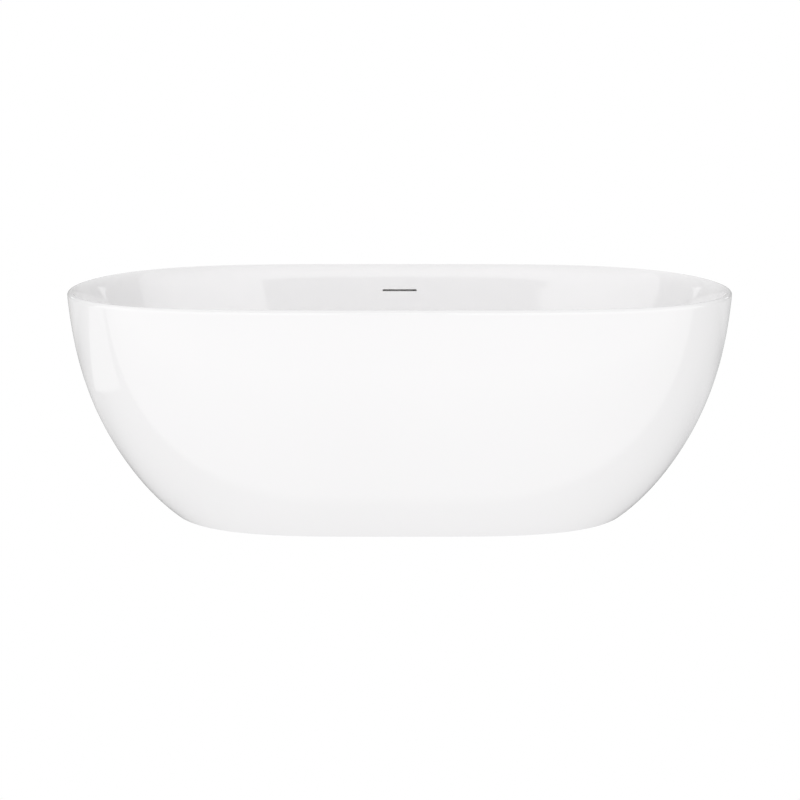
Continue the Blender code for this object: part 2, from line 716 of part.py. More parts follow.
def build_board():
    rings = [outline_ring(BOARD_OUTLINE, z) for z in (BOARD_BOTTOM_Z, BOARD_TOP_Z)]
    board = add_object("base_board", rings, PLYWOOD)
    boolean(board, cylinder_tool("board_hole_tool", BOARD_HOLE_RADIUS, (0, 0, 0.09), (0, 0, 0.14)))


def strip_outline(points, thickness):
    """The outline of a bent strip whose middle runs through the points, with mitred bends."""
    left, right = [], []
    for i, point in enumerate(points):
        before = (point - points[i - 1]).normalized() if i else None
        after = (points[i + 1] - point).normalized() if i + 1 < len(points) else None
        before, after = before or after, after or before
        normal = Vector((-before.y - after.y, before.x + after.x)).normalized()
        offset = normal * (thickness / 2 / normal.dot(Vector((-before.y, before.x))))
        left.append(point + offset)
        right.append(point - offset)
    return [tuple(p) for p in left + right[::-1]]


def add_strap(name, start, inner_face, axis, side, offset):
    """A bent flat bar from the frame to the skirt, with a leaf that lies along the skirt's inside."""
    off_face = STRAP_THICKNESS + STRAP_CLEARANCE
    leg_z = RAIL_BOTTOM_Z + 0.016
    middle = start + STRAP_THICKNESS / 2 + GAP
    points = [
        Vector((middle, RAIL_BOTTOM_Z + 0.003)),
        Vector((middle, leg_z)),
        Vector((inner_face(leg_z) - off_face, leg_z)),
        Vector((inner_face(leg_z + STRAP_LEAF) - off_face, leg_z + STRAP_LEAF)),
    ]
    outline = strip_outline(points, STRAP_THICKNESS)
    strap = add_prism(name, [(side * u, v) for u, v in outline], STRAP_WIDTH / 2, ZINC, axis)
    strap.location["XYZ".index(axis)] = offset


def build_straps():
    for side, word in ((-1, "front"), (1, "rear")):
        for end, end_word in ((-1, "left"), (1, "right")):
            name = f"{word}_{end_word}_strap"
            add_strap(name, RAIL_Y + TUBE / 2, skirt_inner_y, "X", side, end * STRAP_X)
    for side, word in ((-1, "left"), (1, "right")):
        add_strap(f"{word}_end_strap", RAIL_HALF_LENGTH, skirt_inner_x, "Y", side, 0.0)


# ---------------------------------------------------------------- feet and bolts
def build_foot(corner, x, y):
    """One levelling foot: a swivel pad, the stud that turns in it, and the nuts on the foot bar."""
    at = (x, y)
    pad = [
        (0.0035, 0.0),
        (PAD_RADIUS, 0.0),
        (PAD_RADIUS, 0.004),
        (0.0110, 0.0080),
        (0.0095, 0.0125),
        (JOURNAL_RADIUS + 0.0004, 0.0125),
        (JOURNAL_RADIUS + 0.0004, 0.0050),
        (0.0035, 0.0050),
    ]
    add_turned(f"foot_pad_{corner}", pad, RUBBER, closed=False, at=at)
    stud = [
        (JOURNAL_RADIUS, 0.0053),
        (JOURNAL_RADIUS, 0.0130),
        (STUD_RADIUS, 0.0140),
        (STUD_RADIUS, STUD_TOP_Z - 0.0015),
        (STUD_RADIUS - 0.0015, STUD_TOP_Z),
    ]
    add_turned(f"foot_stud_{corner}", stud, ZINC, closed=False, at=at, sides=16)
    bore = STUD_RADIUS + 0.0005
    low = FOOT_BAR_BOTTOM_Z - GAP - NUT_HEIGHT
    nut = ring_section(bore, NUT_RADIUS, low, low + NUT_HEIGHT)
    add_nut(f"weld_nut_{corner}", nut, ZINC, at)
    low = FOOT_BAR_TOP_Z + GAP
    add_nut(f"lock_nut_{corner}", ring_section(bore, NUT_RADIUS, low, low + NUT_HEIGHT), ZINC, at)


def build_bolt(corner, x, y):
    """A hexagon bolt that holds a foot bar up to a rail."""
    head_top = FOOT_BAR_BOTTOM_Z - GAP
    head = [circle(BOLT_HEAD_RADIUS, z, 6) for z in (head_top - BOLT_HEAD_HEIGHT, head_top)]
    bolt = add_object(f"frame_bolt_{corner}", head, ZINC, smooth=False)
    bolt.location = (x, y, 0.0)
    start, end = (x, y, head_top - 0.002), (x, y, RAIL_BOTTOM_Z + TUBE / 2)
    shank = cylinder_tool(f"shank_tool_{corner}", BOLT_RADIUS, start, end, 12)
    boolean(bolt, shank, "UNION")


def build_feet_and_bolts():
    for side, word in ((-1, "front"), (1, "rear")):
        for end, end_word in ((-1, "left"), (1, "right")):
            corner = f"{word}_{end_word}"
            build_foot(corner, end * FOOT_X, side * FOOT_Y)
            build_bolt(corner, end * FOOT_X, side * RAIL_Y)


def main():
    clear_scene()
    build_basin()
    build_skirt()
    build_overflow()
    build_hose()
    build_drain()
    build_stopper()
    build_board()
    build_frame()
    build_straps()
    build_feet_and_bolts()


main()
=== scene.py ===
import functools
import json
import math

import bmesh
import bpy
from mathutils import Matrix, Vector


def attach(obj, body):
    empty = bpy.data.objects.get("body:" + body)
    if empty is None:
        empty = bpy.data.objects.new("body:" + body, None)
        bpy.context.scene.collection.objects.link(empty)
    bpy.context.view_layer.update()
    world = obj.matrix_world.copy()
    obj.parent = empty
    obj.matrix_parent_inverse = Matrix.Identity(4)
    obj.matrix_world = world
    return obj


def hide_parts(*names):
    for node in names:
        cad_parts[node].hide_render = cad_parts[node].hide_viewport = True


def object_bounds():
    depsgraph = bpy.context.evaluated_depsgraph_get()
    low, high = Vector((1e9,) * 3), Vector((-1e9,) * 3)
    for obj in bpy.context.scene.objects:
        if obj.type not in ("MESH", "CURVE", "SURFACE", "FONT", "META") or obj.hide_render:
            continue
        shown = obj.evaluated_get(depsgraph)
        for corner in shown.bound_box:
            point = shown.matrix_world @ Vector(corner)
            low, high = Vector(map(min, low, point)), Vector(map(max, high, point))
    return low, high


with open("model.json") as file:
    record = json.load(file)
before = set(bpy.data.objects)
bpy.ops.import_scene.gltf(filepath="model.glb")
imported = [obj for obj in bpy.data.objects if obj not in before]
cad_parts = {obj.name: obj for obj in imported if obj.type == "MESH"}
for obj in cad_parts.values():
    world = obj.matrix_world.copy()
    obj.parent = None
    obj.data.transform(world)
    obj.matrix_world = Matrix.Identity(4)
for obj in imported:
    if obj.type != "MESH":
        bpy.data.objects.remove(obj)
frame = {"nodes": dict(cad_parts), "record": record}
CAD_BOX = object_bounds()
nodes = frame["nodes"]

low, high = CAD_BOX
LENGTH, WIDTH, HEIGHT = high - low

# The two skins, on the same curves as the CAD model, in metres. An outline is (half its length, half its
# width, the power at its ends, the power along its sides).
RIM_OUTLINE = (LENGTH / 2, WIDTH / 2, 4.29, 2.0)
FOOT_OUTLINE = (0.6255, 0.3155, 3.81, 2.61)
FLOOR_OUTLINE = (0.560, 0.235, 3.4, 2.3)
LEAN_POWER = 2.42
TUCK_POWER = 14.0
TUCK_SHARE = 0.053
SKIRT_WALL = 0.005
RIM_THICKNESS = 0.013
RIM_OUTER_RADIUS = 0.0085
RIM_INNER_RADIUS = 0.0040
RIM_LEAN = math.radians(37)
LIP_DEPTH = 0.012
BASIN_WALL = 0.0055
WELL_POWER = 2.2
ROLL_WIDTH = 0.007
ROLL_DEPTH = 0.030
FLOOR_EDGE_Z = 0.135
DRAIN_Z = 0.131
FLOOR_UNDERSIDE_Z = 0.1235
GAP = 0.0003
SLOT_Z = 0.503
SLOT_LENGTH = 0.105
SLOT_HEIGHT = 0.006
SLOT_CUT_Y = (0.33, 0.42)
DRAIN_HOLE_RADIUS = 0.026
RECESS_RADIUS = 0.0365
RECESS_DEPTH = 0.004
DRAIN_CUT_Z = (0.100, 0.160)
FLOOR_CENTRE_SCALE = 0.10  # the innermost ring of the floor, as a share of its outline
FLOOR_FLAT_SCALE = 0.2  # the floor is level inside this share of its outline

# The waste and the overflow hose.
GASKET_THICKNESS = 0.003
HOSE_Z = 0.0735
HOSE_RADIUS = 0.0095
HOSE_BORE = 0.0078
HOSE_SIDES = 28
HOSE_STEPS = 900
CUFF_LENGTH = 0.024
CUFF_BLEND = 0.003
RIB_DEPTH = 0.0009
RIB_PITCH = 0.0046

# The frame, the board and the feet.
TUBE = 0.025
TUBE_WALL = 0.002
THREAD_PITCH = 0.00175
BOLT_PITCH = 0.00125
BOARD_TOP_Z = FLOOR_UNDERSIDE_Z - 0.0005
BOARD_BOTTOM_Z = BOARD_TOP_Z - 0.012
RAIL_BOTTOM_Z = BOARD_BOTTOM_Z - GAP - TUBE
FOOT_BAR_TOP_Z = RAIL_BOTTOM_Z - GAP
FOOT_BAR_BOTTOM_Z = FOOT_BAR_TOP_Z - TUBE
BOARD_OUTLINE = (0.500, 0.190, 3.4, 2.3)
BOARD_HOLE_RADIUS = 0.050
BOARD_CUT_Z = (0.09, 0.14)
RAIL_Y = 0.150
RAIL_HALF_LENGTH = 0.560
FOOT_X = 0.420
FOOT_Y = 0.210
FOOT_BAR_HALF_LENGTH = 0.235
BOLT_HOLE_RADIUS = 0.0046
STUD_HOLE_RADIUS = 0.0066
NUT_CORNER_RADIUS = 0.0110
NUT_BORE_RADIUS = 0.0065
NUT_HEIGHT = 0.008
BOLT_SHANK = 0.014
DEFAULT_EASE = 0.0004
EASES = {"return_spring": 0.00005, "stopper_stem": 0.0003}  # metres, where an edge is eased less than most

AROUND = 320  # points round each plan outline
SKIRT_ROWS = 72
WELL_ROWS = 56
RIM_ROWS = 8
FLOOR_SCALES = 24


# ---------------------------------------------------------------- mesh helpers
def link(mesh, name):
    piece = bpy.data.objects.new(name, mesh)
    bpy.context.scene.collection.objects.link(piece)
    return piece


def skin(name, rings, closed=False, caps=True, sharp=None):
    """A smooth object over rings of points; closed joins the last ring to the first."""
    shape = bmesh.new()
    rows = [[shape.verts.new(point) for point in ring] for ring in rings]
    pairs = list(zip(rows, rows[1:]))
    if closed:
        pairs.append((rows[-1], rows[0]))
    elif caps:
        shape.faces.new(rows[0])
        shape.faces.new(rows[-1])
    for lower, upper in pairs:
        for i in range(len(lower)):
            j = (i + 1) % len(lower)
            shape.faces.new((lower[i], lower[j], upper[j], upper[i]))
    bmesh.ops.recalc_face_normals(shape, faces=shape.faces)
    mesh = bpy.data.meshes.new(name)
    shape.to_mesh(mesh)
    shape.free()
    mesh.shade_smooth()
    if sharp:
        mesh.set_sharp_from_angle(angle=math.radians(sharp))
    return link(mesh, name)


def combine(piece, other, operation, sharp=50):
    """Cuts the other solid out of the piece or joins it on, for good, and removes the other."""
    modifier = piece.modifiers.new("combine", "BOOLEAN")
    modifier.operation = operation
    modifier.solver = "EXACT"
    modifier.object = other
    graph = bpy.context.evaluated_depsgraph_get()
    mesh = bpy.data.meshes.new_from_object(piece.evaluated_get(graph))
    piece.modifiers.clear()
    piece.data = mesh
    mesh.set_sharp_from_angle(angle=math.radians(sharp))
    bpy.data.objects.remove(other, do_unlink=True)


def cut(piece, tool, sharp=50):
    combine(piece, tool, "DIFFERENCE", sharp)


def circle(radius, z, sides):
    turns = (math.tau * i / sides for i in range(sides))
    return [Vector((radius * math.cos(t), radius * math.sin(t), z)) for t in turns]


# ---------------------------------------------------------------- plan outlines
def mix(a, b, share):
    return a + (b - a) * share


@functools.lru_cache(maxsize=None)
def reach(direction, end_power, side_power):
    """How far the outline |u|^p + |v|^q = 1 lies from its centre, towards an angle."""
    u, v = abs(math.cos(direction)), abs(math.sin(direction))
    near, far = 0.5, 1.5
    for _ in range(40):
        middle = (near + far) / 2
        if (middle * u) ** end_power + (middle * v) ** side_power < 1:
            near = middle
        else:
            far = middle
    return (near + far) / 2


def outline_point(outline, direction, inset=0.0):
    a, b, p, q = outline
    r = reach(direction, p, q)
    u, v = r * math.cos(direction), r * math.sin(direction)
    out_x = math.copysign(p * abs(u) ** (p - 1) / a, u)
    out_y = math.copysign(q * abs(v) ** (q - 1) / b, v)
    size = math.hypot(out_x, out_y)
    return Vector((a * u - inset * out_x / size, b * v - inset * out_y / size))


def even_directions():
    """Angles that space points evenly round the rim, the same in each quarter."""
    steps = 2000
    angles = [math.pi / 2 * i / steps for i in range(steps + 1)]
    points = [outline_point(RIM_OUTLINE, angle) for angle in angles]
    travelled = [0.0]
    for before, after in zip(points, points[1:]):
        travelled.append(travelled[-1] + (after - before).length)
    quarter = []
    k = 0
    for i in range(AROUND // 4):
        wanted = travelled[-1] * i / (AROUND // 4)
        while travelled[k + 1] <= wanted:
            k += 1
        share = (wanted - travelled[k]) / (travelled[k + 1] - travelled[k])
        quarter.append(mix(angles[k], angles[k + 1], share))
    mirrored = [math.pi - angle for angle in reversed(quarter[1:])]
    half = quarter + [math.pi / 2] + mirrored
    return half + [math.pi + angle for angle in half]


DIRECTIONS = even_directions()


def outline_ring(outline, z, inset=0.0):
    return [outline_point(outline, angle, inset).to_3d() + Vector((0, 0, z)) for angle in DIRECTIONS]


def skirt_outline(z):
    down = 1 - z / HEIGHT
    share = (1 - TUCK_SHARE) * down**LEAN_POWER + TUCK_SHARE * down**TUCK_POWER
    return tuple(mix(rim, foot, share) for rim, foot in zip(RIM_OUTLINE, FOOT_OUTLINE))


def well_share(depth):
    """How far the well has closed from the rim to its floor outline, at a share of its depth."""
    return 1 - max(0.0, 1 - depth) ** (1 / WELL_POWER)


def well_rings(depths, inset, floor_inset, top_z, bottom_z):
    floors = [outline_point(FLOOR_OUTLINE, angle, floor_inset) for angle in DIRECTIONS]
    rings = []
    for depth in depths:
        share = well_share(depth)
        roll = ROLL_WIDTH * (1 - math.exp(-depth / ROLL_DEPTH))
        tops = [outline_point(RIM_OUTLINE, angle, inset + roll) for angle in DIRECTIONS]
        z = mix(top_z, bottom_z, depth)
        plan = [top.lerp(floor, share) for top, floor in zip(tops, floors)]
        rings.append([point.to_3d() + Vector((0, 0, z)) for point in plan])
    return rings


# ---------------------------------------------------------------- node materials
def new_material(name):
    material = bpy.data.materials.new(name)
    material.use_nodes = True
    tree = material.node_tree
    return tree, tree.nodes["Principled BSDF"], material


def add(tree, kind, values=(), **settings):
    """A node with its settings, and its inputs by index or name: a socket is linked, a value is set."""
    node = tree.nodes.new(kind)
    for key, value in settings.items():
        setattr(node, key, value)
    for key, value in dict(values).items():
        if isinstance(value, bpy.types.NodeSocket):
            tree.links.new(value, node.inputs[key])
        else:
            node.inputs[key].default_value = value
    return node


def place(tree, scale=(1.0, 1.0, 1.0)):
    coordinates = add(tree, "ShaderNodeTexCoord")
    return add(tree, "ShaderNodeMapping", {0: coordinates.outputs["Object"], "Scale": scale}).outputs[0]


def noise(tree, where, scale, detail=3.0, roughness=0.5, distortion=0.0):
    values = {"Vector": where, "Scale": scale, "Detail": detail}
    values.update({"Roughness": roughness, "Distortion": distortion})
    return add(tree, "ShaderNodeTexNoise", values).outputs["Fac"]


def remap(tree, value, from_low, from_high, to_low, to_high):
    values = {0: value, 1: from_low, 2: from_high, 3: to_low, 4: to_high}
    return add(tree, "ShaderNodeMapRange", values, clamp=True).outputs[0]


def calc(tree, operation, a, b=0.0, clamp=False):
    return add(tree, "ShaderNodeMath", {0: a, 1: b}, operation=operation, use_clamp=clamp).outputs[0]


def blend_colours(tree, share, first, second):
    values = {0: share}
    node = add(tree, "ShaderNodeMix", values, data_type="RGBA")
    for index, colour in ((6, first), (7, second)):
        if isinstance(colour, bpy.types.NodeSocket):
            tree.links.new(colour, node.inputs[index])
        else:
            node.inputs[index].default_value = (*colour, 1.0)
    return node.outputs[2]


def bump(tree, height, strength, distance, normal=None):
    values = {"Height": height, "Strength": strength, "Distance": distance}
    if normal:
        values["Normal"] = normal
    return add(tree, "ShaderNodeBump", values).outputs[0]


def acrylic():
    """White cast acrylic, polished: faint forming waves, polishing haze and hairline scratches."""
    tree, shader, material = new_material("acrylic_gloss")
    where = place(tree)
    drift = noise(tree, where, 2.3, 4.0)
    haze = noise(tree, where, 9.0, 6.0, 0.6)
    shade = remap(tree, drift, 0.3, 0.7, 0.0, 1.0)
    colour = blend_colours(tree, shade, (0.915, 0.909, 0.913), (0.923, 0.917, 0.921))
    tree.links.new(colour, shader.inputs["Base Color"])
    scratch_place = place(tree, (1.0, 7.0, 160.0))
    scratches = noise(tree, scratch_place, 6.0, 8.0, 0.7)
    fine = remap(tree, scratches, 0.62, 0.74, 0.0, 0.03)
    rough = calc(tree, "ADD", remap(tree, haze, 0.3, 0.7, 0.015, 0.035), fine)
    tree.links.new(rough, shader.inputs["Roughness"])
    waves = noise(tree, where, 7.0, 1.0)
    peel = noise(tree, where, 160.0, 2.0)
    wavy = bump(tree, waves, 0.10, 0.0008)
    peeled = bump(tree, peel, 0.02, 0.00004, wavy)
    tree.links.new(peeled, shader.inputs["Normal"])
    shader.inputs["IOR"].default_value = 1.49
    return material


def glass_fibre():
    """The sprayed resin and chopped glass on the hidden side of the acrylic."""
    tree, shader, material = new_material("glass_fibre_backing")
    where = place(tree)
    stretch = {0: where, 1: (3.0, 3.0, 3.0)}
    warped = add(tree, "ShaderNodeVectorMath", stretch, operation="MULTIPLY").outputs[0]
    strands = noise(tree, place(tree, (1.0, 9.0, 1.0)), 60.0, 5.0, 0.6, 1.2)
    across = noise(tree, place(tree, (9.0, 1.0, 3.0)), 60.0, 5.0, 0.6, 1.2)
    fibres = calc(tree, "MAXIMUM", strands, across)
    patches = noise(tree, warped, 3.0, 4.0)
    pale = blend_colours(tree, remap(tree, patches, 0.35, 0.65, 0, 1), (0.62, 0.60, 0.52), (0.72, 0.70, 0.63))
    colour = blend_colours(tree, remap(tree, fibres, 0.55, 0.8, 0, 0.7), pale, (0.84, 0.83, 0.79))
    tree.links.new(colour, shader.inputs["Base Color"])
    tree.links.new(remap(tree, fibres, 0.4, 0.8, 0.75, 0.45), shader.inputs["Roughness"])
    tree.links.new(bump(tree, fibres, 0.8, 0.0012), shader.inputs["Normal"])
    return material


def worn_edges(tree, radius, low, high):
    """One where an edge is, from how far a rounded normal leans from the true one."""
    rounded = add(tree, "ShaderNodeBevel", {"Radius": radius}, samples=4).outputs[0]
    true = add(tree, "ShaderNodeNewGeometry").outputs["Normal"]
    facing = add(tree, "ShaderNodeVectorMath", {0: rounded, 1: true}, operation="DOT_PRODUCT")
    facing = facing.outputs["Value"]
    return remap(tree, calc(tree, "SUBTRACT", 1.0, facing), low, high, 0.0, 1.0)


def chrome():
    tree, shader, material = new_material("chrome_plate")
    where = place(tree)
    smears = noise(tree, place(tree, (1.0, 1.0, 4.0)), 55.0, 5.0, 0.6)
    lines = noise(tree, place(tree, (1.0, 1.0, 40.0)), 90.0, 6.0, 0.7)
    tint = blend_colours(tree, remap(tree, smears, 0.3, 0.7, 0, 1), (0.80, 0.81, 0.83), (0.86, 0.87, 0.88))
    tree.links.new(tint, shader.inputs["Base Color"])
    shader.inputs["Metallic"].default_value = 1.0
    rough = remap(tree, smears, 0.35, 0.7, 0.04, 0.13)
    rough = calc(tree, "ADD", rough, remap(tree, lines, 0.6, 0.75, 0.0, 0.08))
    tree.links.new(rough, shader.inputs["Roughness"])
    tree.links.new(bump(tree, noise(tree, where, 35.0, 2.0), 0.06, 0.0004), shader.inputs["Normal"])
    return material


def zinc():
    tree, shader, material = new_material("zinc_plate")
    where = place(tree)
    spangle = add(tree, "ShaderNodeTexVoronoi", {"Vector": where, "Scale": 260.0}).outputs["Color"]
    grey = add(tree, "ShaderNodeSeparateColor", {0: spangle}).outputs[0]
    clouds = noise(tree, where, 40.0, 5.0)
    flecks = blend_colours(tree, grey, (0.50, 0.51, 0.53), (0.66, 0.67, 0.68))
    dulled = blend_colours(tree, remap(tree, clouds, 0.4, 0.75, 0, 0.7), flecks, (0.58, 0.57, 0.52))
    edges = worn_edges(tree, 0.0006, 0.02, 0.25)
    colour = blend_colours(tree, edges, dulled, (0.80, 0.81, 0.82))
    tree.links.new(colour, shader.inputs["Base Color"])
    shader.inputs["Metallic"].default_value = 1.0
    turned = noise(tree, place(tree, (1.0, 1.0, 18.0)), 120.0, 6.0, 0.7)
    rough = remap(tree, turned, 0.35, 0.7, 0.24, 0.46)
    rough = calc(tree, "ADD", rough, calc(tree, "MULTIPLY", edges, -0.10))
    tree.links.new(rough, shader.inputs["Roughness"])
    tree.links.new(bump(tree, turned, 0.25, 0.0002), shader.inputs["Normal"])
    return material


def powder_coat():
    tree, shader, material = new_material("powder_coat")
    where = place(tree)
    peel = noise(tree, where, 420.0, 2.0)
    dust = noise(tree, where, 14.0, 6.0, 0.6)
    dusty = remap(tree, dust, 0.4, 0.8, 0, 1)
    paint = blend_colours(tree, dusty, (0.018, 0.018, 0.020), (0.060, 0.058, 0.055))
    broken = noise(tree, where, 60.0, 4.0)
    edges = worn_edges(tree, 0.0012, 0.05, 0.30)
    edges = calc(tree, "MULTIPLY", edges, remap(tree, broken, 0.5, 0.62, 0.0, 1.0))
    colour = blend_colours(tree, edges, paint, (0.36, 0.35, 0.34))
    tree.links.new(colour, shader.inputs["Base Color"])
    tree.links.new(edges, shader.inputs["Metallic"])
    tree.links.new(remap(tree, dust, 0.3, 0.75, 0.34, 0.60), shader.inputs["Roughness"])
    tree.links.new(bump(tree, peel, 0.35, 0.0003), shader.inputs["Normal"])
    return material


def rubber():
    tree, shader, material = new_material("moulded_rubber")
    where = place(tree)
    bloom = noise(tree, where, 45.0, 6.0, 0.6)
    grain = noise(tree, where, 900.0, 3.0)
    pale = remap(tree, bloom, 0.4, 0.75, 0, 1)
    base = blend_colours(tree, pale, (0.012, 0.012, 0.012), (0.050, 0.049, 0.047))
    colour = blend_colours(tree, worn_edges(tree, 0.0008, 0.05, 0.4), base, (0.085, 0.083, 0.080))
    tree.links.new(colour, shader.inputs["Base Color"])
    tree.links.new(remap(tree, bloom, 0.3, 0.7, 0.62, 0.86), shader.inputs["Roughness"])
    tree.links.new(bump(tree, grain, 0.5, 0.0002), shader.inputs["Normal"])
    return material


def moulded_plastic(name, first, second, grain_scale):
    """Injection-moulded plastic: a fine spark-eroded grain, flow clouds and scuffed edges."""
    tree, shader, material = new_material(name)
    where = place(tree)
    clouds = noise(tree, where, 22.0, 5.0, 0.55)
    grain = noise(tree, where, grain_scale, 3.0)
    base = blend_colours(tree, remap(tree, clouds, 0.35, 0.7, 0, 1), first, second)
    scuffed = tuple(min(1.0, c * 1.25 + 0.04) for c in second)
    colour = blend_colours(tree, worn_edges(tree, 0.0007, 0.06, 0.5), base, scuffed)
    tree.links.new(colour, shader.inputs["Base Color"])
    tree.links.new(remap(tree, clouds, 0.3, 0.7, 0.34, 0.52), shader.inputs["Roughness"])
    tree.links.new(bump(tree, grain, 0.3, 0.00015), shader.inputs["Normal"])
    return material


def plywood():
    """Birch plywood: long face grain, and stacked veneers where the edge shows."""
    tree, shader, material = new_material("birch_plywood")
    where = place(tree)
    rings = noise(tree, place(tree, (1.0, 11.0, 1.0)), 4.0, 8.0, 0.62, 1.6)
    pores = noise(tree, place(tree, (6.0, 160.0, 1.0)), 9.0, 4.0, 0.7)
    face = blend_colours(tree, remap(tree, rings, 0.35, 0.68, 0, 1), (0.62, 0.44, 0.26), (0.40, 0.25, 0.13))
    face = blend_colours(tree, remap(tree, pores, 0.60, 0.72, 0, 0.5), face, (0.22, 0.13, 0.07))
    spot = add(tree, "ShaderNodeSeparateXYZ", {0: where}).outputs[2]
    plies = calc(tree, "SINE", calc(tree, "MULTIPLY", spot, math.tau / 0.0030))
    edge = blend_colours(tree, remap(tree, plies, -0.3, 0.3, 0, 1), (0.30, 0.17, 0.09), (0.66, 0.49, 0.31))
    normal = add(tree, "ShaderNodeNewGeometry").outputs["Normal"]
    upright = add(tree, "ShaderNodeSeparateXYZ", {0: normal}).outputs[2]
    flat = remap(tree, calc(tree, "ABSOLUTE", upright), 0.4, 0.6, 0.0, 1.0)
    colour = blend_colours(tree, flat, edge, face)
    tree.links.new(colour, shader.inputs["Base Color"])
    tree.links.new(remap(tree, rings, 0.3, 0.7, 0.48, 0.70), shader.inputs["Roughness"])
    relief = calc(tree, "ADD", rings, calc(tree, "MULTIPLY", pores, 0.6))
    tree.links.new(bump(tree, relief, 0.4, 0.0006), shader.inputs["Normal"])
    return material


FINISHES = {
    "acrylic": acrylic(),
    "chrome": chrome(),
    "zinc_steel": zinc(),
    "painted_frame": powder_coat(),
    "black_rubber": rubber(),
    "white_plastic": moulded_plastic("white_moulding", (0.86, 0.86, 0.84), (0.91, 0.91, 0.90), 700.0),
    "grey_plastic": moulded_plastic("grey_moulding", (0.30, 0.31, 0.32), (0.38, 0.39, 0.40), 600.0),
    "plywood": plywood(),
}
BACKING = glass_fibre()
SLOT_OF = {part["node"]: part["material_slot"] for part in frame["record"]["subparts"]}
BODY_OF = {node: body for body, members in frame["record"]["behaviour"]["bodies"].items() for node in members}


def stand_for(piece, node):
    """The piece takes the node's place, its body, its slot and its finish."""
    finish = SLOT_OF[node]
    if not piece.data.materials:
        piece.data.materials.append(FINISHES[finish])
    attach(piece, BODY_OF[node])
    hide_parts(node)


# ---------------------------------------------------------------- the basin and the skirt
def build_basin():
    depths = [math.sin(math.pi / 2 * (i / WELL_ROWS) ** 1.15) ** 2 for i in range(WELL_ROWS + 1)]
    floor = []
    plan = outline_ring(FLOOR_OUTLINE, 0.0)
    for i in range(FLOOR_SCALES):
        scale = mix(FLOOR_CENTRE_SCALE, 1.0, (i + 0.5) / FLOOR_SCALES)
        share = max(0.0, (scale - FLOOR_FLAT_SCALE) / (1 - FLOOR_FLAT_SCALE))
        floor.append([Vector((scale * p.x, scale * p.y, mix(DRAIN_Z, FLOOR_EDGE_Z, share))) for p in plan])
    face_top_z = HEIGHT - RIM_INNER_RADIUS * (1 - math.sin(RIM_LEAN))
    face_inset = RIM_THICKNESS - RIM_INNER_RADIUS * (1 - math.cos(RIM_LEAN))
    face = well_rings(list(reversed(depths[1:])), face_inset, 0.0, face_top_z, FLOOR_EDGE_Z)
    inner = (RIM_THICKNESS - RIM_INNER_RADIUS, RIM_INNER_RADIUS, RIM_LEAN, math.pi / 2)
    outer = (RIM_OUTER_RADIUS, RIM_OUTER_RADIUS, math.pi / 2, math.pi)
    rim = []
    for centre, radius, first, last in (inner, outer):
        for i in range(RIM_ROWS + 1):
            angle = mix(first, last, i / RIM_ROWS)
            inset = centre + radius * math.cos(angle)
            rim.append(outline_ring(RIM_OUTLINE, HEIGHT - radius + radius * math.sin(angle), inset))
    rim.append(outline_ring(RIM_OUTLINE, HEIGHT - LIP_DEPTH))
    back = well_rings(
        depths[::2], RIM_THICKNESS - BASIN_WALL, -BASIN_WALL, HEIGHT - LIP_DEPTH, FLOOR_UNDERSIDE_Z
    )
    basin = skin("basin_shell", floor + face + rim + back, sharp=50)
    basin.data.materials.append(FINISHES["acrylic"])
    basin.data.materials.append(BACKING)
    first_back = len(floor + face + rim) * AROUND
    for polygon in basin.data.polygons:
        if min(polygon.vertices) >= first_back - AROUND and max(polygon.vertices) >= first_back:
            polygon.material_index = 1
    low_z, high_z = DRAIN_CUT_Z
    cut(basin, skin("drain_hole_tool", [circle(DRAIN_HOLE_RADIUS, z, 96) for z in (low_z, high_z)]))
    recess_z = DRAIN_Z - RECESS_DEPTH
    cut(basin, skin("drain_recess_tool", [circle(RECESS_RADIUS, z, 96) for z in (recess_z, high_z)]))
    cut(basin, slot_tool())
    return basin


def slot_tool():
    """A flat bar with round ends, longer than the basin's wall is thick."""
    radius = SLOT_HEIGHT / 2
    half = SLOT_LENGTH / 2 - radius
    outline = []
    for side, first in ((half, -math.pi / 2), (-half, math.pi / 2)):
        for i in range(17):
            angle = first + math.pi * i / 16
            outline.append((side + radius * math.cos(angle), SLOT_Z + radius * math.sin(angle)))
    return skin("overflow_slot_tool", [[Vector((x, y, z)) for x, z in outline] for y in SLOT_CUT_Y])


def build_skirt():
    top_z = HEIGHT - LIP_DEPTH  # meets the lip, as the polished seam does
    heights = [top_z * (i / SKIRT_ROWS) ** 1.35 for i in range(SKIRT_ROWS + 1)]
    outside = [outline_ring(skirt_outline(z), z) for z in heights]
    inside = [outline_ring(skirt_outline(z), z, SKIRT_WALL) for z in reversed(heights[::3])]
    skirt = skin("skirt_shell", outside + inside, closed=True, sharp=40)
    skirt.data.materials.append(FINISHES["acrylic"])
    skirt.data.materials.append(BACKING)
    first_back = len(outside) * AROUND
    for polygon in skirt.data.polygons:
        if min(polygon.vertices) >= first_back:
            polygon.material_index = 1
    return skirt


basin = build_basin()
stand_for(basin, "inner_basin")
skirt = build_skirt()
stand_for(skirt, "outer_skirt")


# ---------------------------------------------------------------- turned and threaded pieces
def rounded(points, radius, closed=True, steps=4):
    """A profile of (distance from the axis, height) points with its corners turned into short curves."""
    path = [Vector(point) for point in points]
    curve = []
    for i, corner in enumerate(path):
        if not closed and i in (0, len(path) - 1):
            curve.append(corner)
            continue
        into, away = path[i - 1] - corner, path[(i + 1) % len(path)] - corner
        if into.angle(away) > math.pi - 0.15:
            curve.append(corner)
            continue
        size = min(radius, 0.45 * into.length, 0.45 * away.length)
        start, end = corner + into.normalized() * size, corner + away.normalized() * size
        for k in range(steps + 1):
            t = k / steps
            curve.append(start * (1 - t) ** 2 + corner * (2 * t * (1 - t)) + end * t**2)
    return curve


